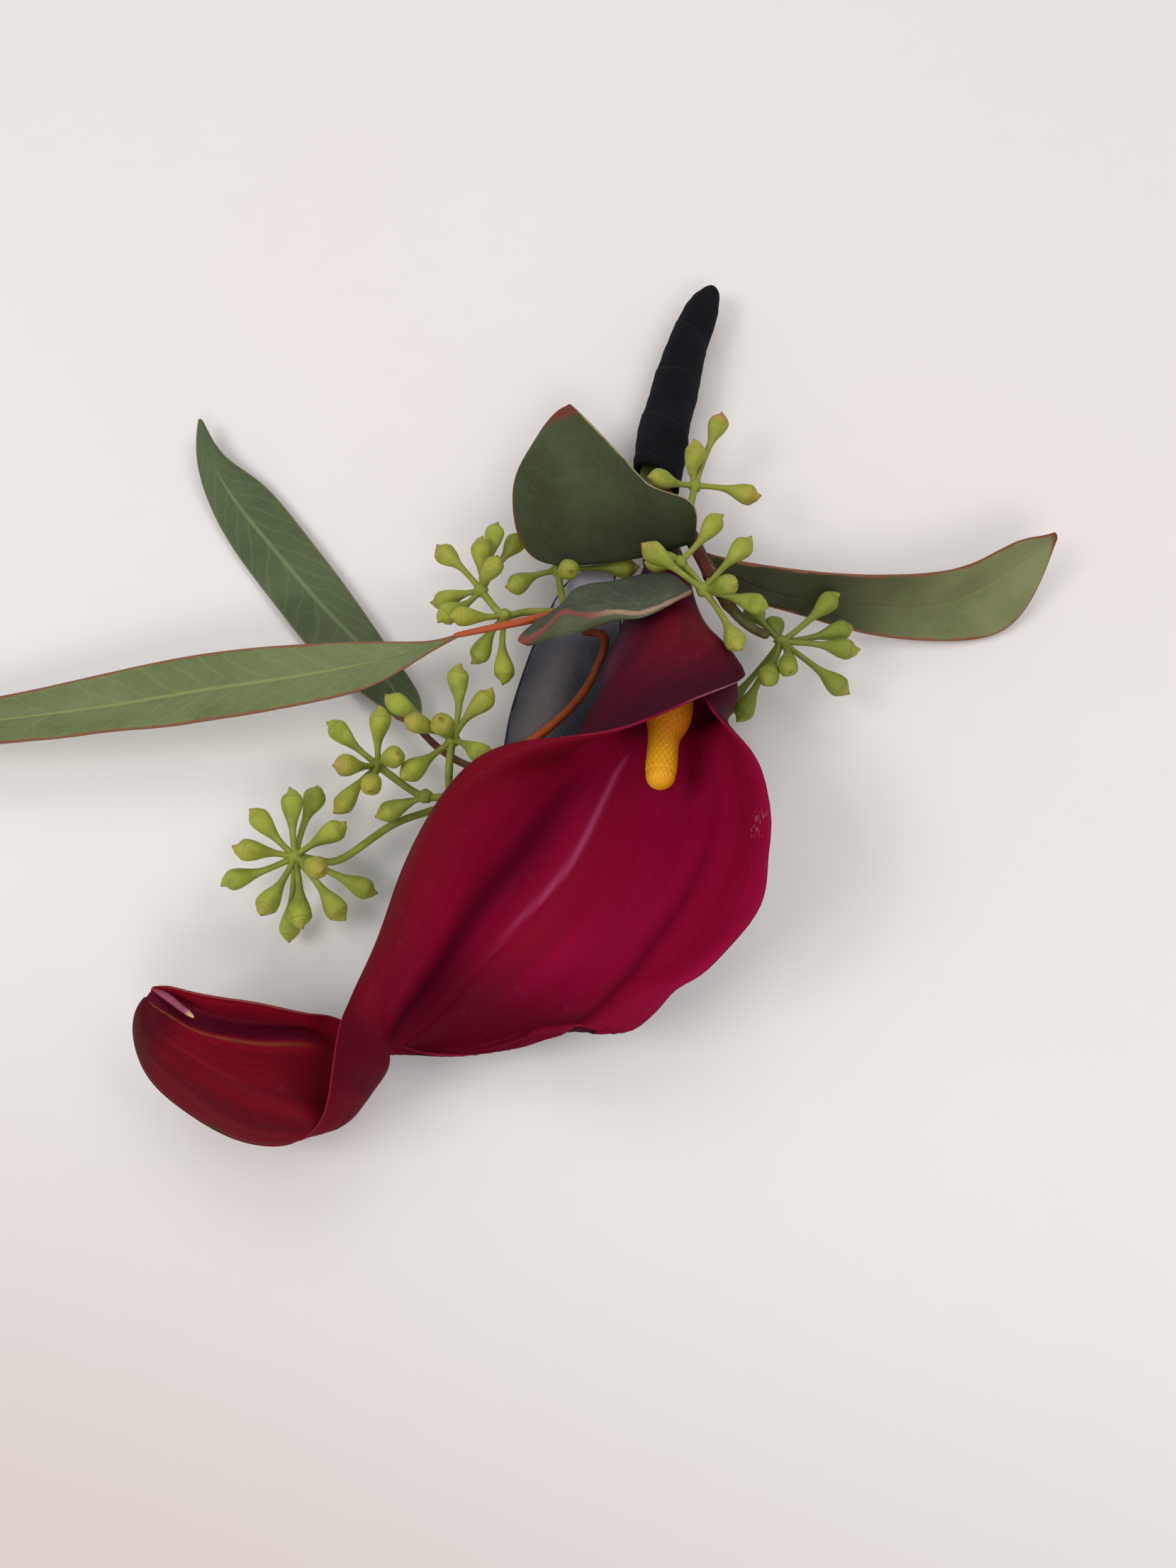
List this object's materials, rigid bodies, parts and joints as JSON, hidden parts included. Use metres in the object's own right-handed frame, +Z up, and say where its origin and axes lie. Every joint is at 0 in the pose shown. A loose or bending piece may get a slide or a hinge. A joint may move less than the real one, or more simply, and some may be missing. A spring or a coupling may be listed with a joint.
{
  "type": "boutonniere",
  "caption": "Wrapped boutonniere lying on its back: a dark red mini calla with a rolled throat and twisted tip, seeded eucalyptus leaves and bud clusters, black wrapped stem",
  "frame": {"origin": "on the table surface, under the middle of the bounding box", "axes": "+Z up from the table, +Y towards the wrapped stem ends, +X towards the right-hand leaf, -Y towards the flower's tip"},
  "size_m": [0.167, 0.1312, 0.0247],
  "materials": {
    "wrap_black": "soft matte black floral wrap with faint overlapping turns",
    "calla_stem_green": "smooth fleshy green stem",
    "spathe_crimson": "waxy satin crimson petal, dark maroon on the outside of the tube",
    "spadix_yellow": "finely granular golden yellow",
    "leaf_olive": "matte dark olive leaf with a red tip and margin",
    "leaf_grey_green": "matte grey-green leaf with a red-brown margin",
    "leaf_sage": "matte sage leaf with a pale rib and a red-brown margin",
    "leaf_deep_green": "matte deep green leaf with a pale rib and a brown tip",
    "leaf_blue_green": "waxy blue-green leaf with a tan-pink margin",
    "leaf_slate": "glossy slate grey leaf with a mauve middle",
    "petiole_red": "red-orange leaf stalk",
    "twig_brown": "thin red-brown woody twig",
    "bud_green": "yellow-green buds with a few tan tips"
  },
  "bodies": {
    "root": {"stem_wrap": "wrap_black", "calla_stem": "calla_stem_green", "spathe": "spathe_crimson", "spadix": "spadix_yellow", "leaf_top": "leaf_olive", "leaf_right": "leaf_grey_green", "leaf_left": "leaf_sage", "leaf_upper_left": "leaf_deep_green", "leaf_folded": "leaf_blue_green", "leaf_back": "leaf_slate", "petiole_left": "petiole_red", "petiole_upper_left": "twig_brown", "twig_main": "twig_brown", "twig_back": "twig_brown", "umbel_at_wrap": "bud_green", "umbel_upper_left": "bud_green", "umbel_by_folded_leaf": "bud_green", "umbel_centre": "bud_green", "umbel_right": "bud_green", "umbel_left": "bud_green", "umbel_lower_left": "bud_green"}
  },
  "joints": []
}
